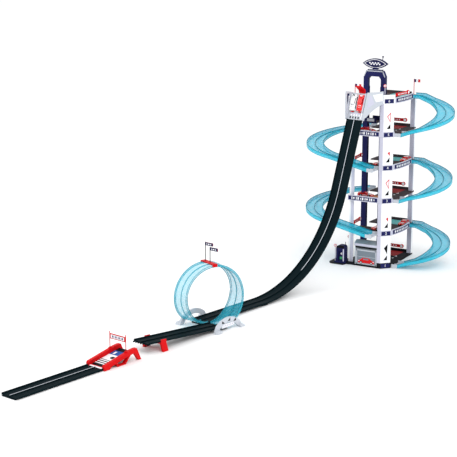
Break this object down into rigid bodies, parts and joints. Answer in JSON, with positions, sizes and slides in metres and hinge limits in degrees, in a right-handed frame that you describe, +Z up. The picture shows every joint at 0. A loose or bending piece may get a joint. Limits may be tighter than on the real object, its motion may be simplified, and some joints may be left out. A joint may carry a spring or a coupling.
{
  "type": "gravity race track set with car park tower",
  "caption": "Toy race set: a six-level car park tower with lift and see-through ramps, a start chute, a two-lane drop track, a loop, a jump and a landing ramp.",
  "frame": {"origin": "middle of the underside of the tower's base plate", "axes": "+Z up; +X towards the back of the tower, so the race track runs towards -X; +Y towards the left side of the tower"},
  "size_m": [2.548, 0.674, 0.94],
  "materials": {
    "clear_blue": "see-through cyan, smooth",
    "red_plastic": "moulded, glossy",
    "dark_grey": "moulded, matt",
    "track_black": "satin, finely textured",
    "white_plastic": "moulded, satin",
    "navy_plastic": "moulded, satin",
    "light_grey": "moulded, satin",
    "car_red": "gloss paint",
    "car_white": "gloss paint",
    "wheel_black": "matt"
  },
  "bodies": {
    "tower_and_track": {"base_plate": "track_black", "drop_track_lower": "track_black", "drop_track_upper": "track_black", "floor_level_2": "dark_grey", "floor_level_3": "dark_grey", "floor_level_4": "dark_grey", "floor_level_5": "dark_grey", "floor_level_6": "dark_grey", "fuel_station": "navy_plastic", "garage_roof": "light_grey", "garage_walls": "light_grey", "jump_support": "red_plastic", "jump_track": "track_black", "launch_bracket": "light_grey", "launch_chute": "light_grey", "launch_deck": "light_grey", "left_post_sections": "white_plastic", "lift_arch": "navy_plastic", "lift_rails": "navy_plastic", "loop_falling_half": "clear_blue", "loop_rising_half": "clear_blue", "loop_stand_far": "light_grey", "loop_stand_near": "light_grey", "loop_top_clip": "red_plastic", "near_post_sections": "white_plastic", "parked_cars": "car_red", "ramp_joining_pieces": "light_grey", "ramp_level_2_to_1": "clear_blue", "ramp_level_3_to_2": "clear_blue", "ramp_level_4_to_3": "clear_blue", "ramp_level_5_to_4": "clear_blue", "ramp_level_6_to_5": "clear_blue", "right_post_sections": "white_plastic", "road_signs": "white_plastic", "run_in_track": "track_black", "top_sign": "navy_plastic", "tower_flags": "white_plastic", "track_joining_plates": "track_black"},
    "red_car": {"red_car_body": "car_red"},
    "red_car_front_wheels": {"red_car_front_axle": "wheel_black"},
    "red_car_rear_wheels": {"red_car_rear_axle": "wheel_black"},
    "white_car": {"white_car_body": "car_white"},
    "white_car_front_wheels": {"white_car_front_axle": "wheel_black"},
    "white_car_rear_wheels": {"white_car_rear_axle": "wheel_black"},
    "lift_cabin": {"lift_cabin": "navy_plastic"},
    "garage_door": {"garage_door": "light_grey"},
    "launch_lever": {"launch_lever": "red_plastic"},
    "launch_gate": {"launch_gate": "red_plastic"},
    "boom_level_1": {"boom_level_1": "red_plastic"},
    "boom_level_2": {"boom_level_2": "red_plastic"},
    "boom_level_3": {"boom_level_3": "red_plastic"},
    "boom_level_4": {"boom_level_4": "red_plastic"},
    "boom_level_5": {"boom_level_5": "red_plastic"},
    "boom_level_6": {"boom_level_6": "red_plastic"},
    "landing_set": {"landing_rail_near": "red_plastic", "landing_rail_far": "red_plastic", "landing_deck": "track_black", "finish_gate": "red_plastic", "landing_track": "track_black"}
  },
  "joints": [
    {"name": "lift_travel", "type": "slide", "parent": "tower_and_track", "child": "lift_cabin", "axis": [0, 0, 1], "range_m": [-0.63, 0.115]},
    {"name": "boom_6_swing", "type": "hinge", "parent": "tower_and_track", "child": "boom_level_6", "pos_m": [-0.108, -0.098, 0.787], "axis": [0, 0, 1], "range_deg": [-40, 20]},
    {"name": "boom_5_swing", "type": "hinge", "parent": "tower_and_track", "child": "boom_level_5", "pos_m": [0.138, 0.032, 0.637], "axis": [0, 0, 1], "range_deg": [-90, 0]},
    {"name": "boom_4_swing", "type": "hinge", "parent": "tower_and_track", "child": "boom_level_4", "pos_m": [-0.118, 0.094, 0.487], "axis": [0, 0, 1], "range_deg": [0, 90]},
    {"name": "boom_3_swing", "type": "hinge", "parent": "tower_and_track", "child": "boom_level_3", "pos_m": [0.138, 0.032, 0.337], "axis": [0, 0, 1], "range_deg": [-90, 0]},
    {"name": "boom_2_swing", "type": "hinge", "parent": "tower_and_track", "child": "boom_level_2", "pos_m": [-0.118, 0.094, 0.187], "axis": [0, 0, 1], "range_deg": [0, 90]},
    {"name": "boom_1_swing", "type": "hinge", "parent": "tower_and_track", "child": "boom_level_1", "pos_m": [0.138, 0.032, 0.037], "axis": [0, 0, 1], "range_deg": [-90, 0]},
    {"name": "garage_door_tilt", "type": "hinge", "parent": "tower_and_track", "child": "garage_door", "pos_m": [-0.161, 0.0065, 0.077], "axis": [0, 1, 0], "range_deg": [0, 80]},
    {"name": "launch_lever_pull", "type": "hinge", "parent": "tower_and_track", "child": "launch_lever", "pos_m": [-0.26319, -0.0016, 0.78794], "axis": [0.165, 0.9863, 0], "range_deg": [0, 30], "stiffness_Nm_per_rad": 0.03, "springref_deg": -28.65},
    {"name": "launch_gate_drop", "type": "slide", "parent": "tower_and_track", "child": "launch_gate", "axis": [0.9297, -0.1556, -0.3338], "range_m": [0, 0.008]},
    {"name": "red_car_on_chute", "type": "slide", "parent": "tower_and_track", "child": "red_car", "axis": [0.3292, -0.0551, 0.9426], "range_m": [0, 0.006]},
    {"name": "red_car_front_wheels_roll", "type": "hinge", "parent": "red_car", "child": "red_car_front_wheels", "pos_m": [-0.30134, -0.01499, 0.74425], "axis": [0.165, 0.9863, 0], "continuous": true},
    {"name": "red_car_rear_wheels_roll", "type": "hinge", "parent": "red_car", "child": "red_car_rear_wheels", "pos_m": [-0.28784, -0.01724, 0.7829], "axis": [0.165, 0.9863, 0], "continuous": true},
    {"name": "white_car_on_chute", "type": "slide", "parent": "tower_and_track", "child": "white_car", "axis": [0.3292, -0.0551, 0.9426], "range_m": [0, 0.006]},
    {"name": "white_car_front_wheels_roll", "type": "hinge", "parent": "white_car", "child": "white_car_front_wheels", "pos_m": [-0.2949, 0.02348, 0.74425], "axis": [0.165, 0.9863, 0], "continuous": true},
    {"name": "white_car_rear_wheels_roll", "type": "hinge", "parent": "white_car", "child": "white_car_rear_wheels", "pos_m": [-0.28141, 0.02122, 0.7829], "axis": [0.165, 0.9863, 0], "continuous": true},
    {"name": "landing_distance", "type": "slide", "parent": "tower_and_track", "child": "landing_set", "axis": [-0.9863, 0.165, 0], "range_m": [0, 0.2]}
  ],
  "couplings": [
    {"joint": "launch_gate_drop", "follows": "launch_lever_pull", "m_per_rad": 0.015264}
  ]
}
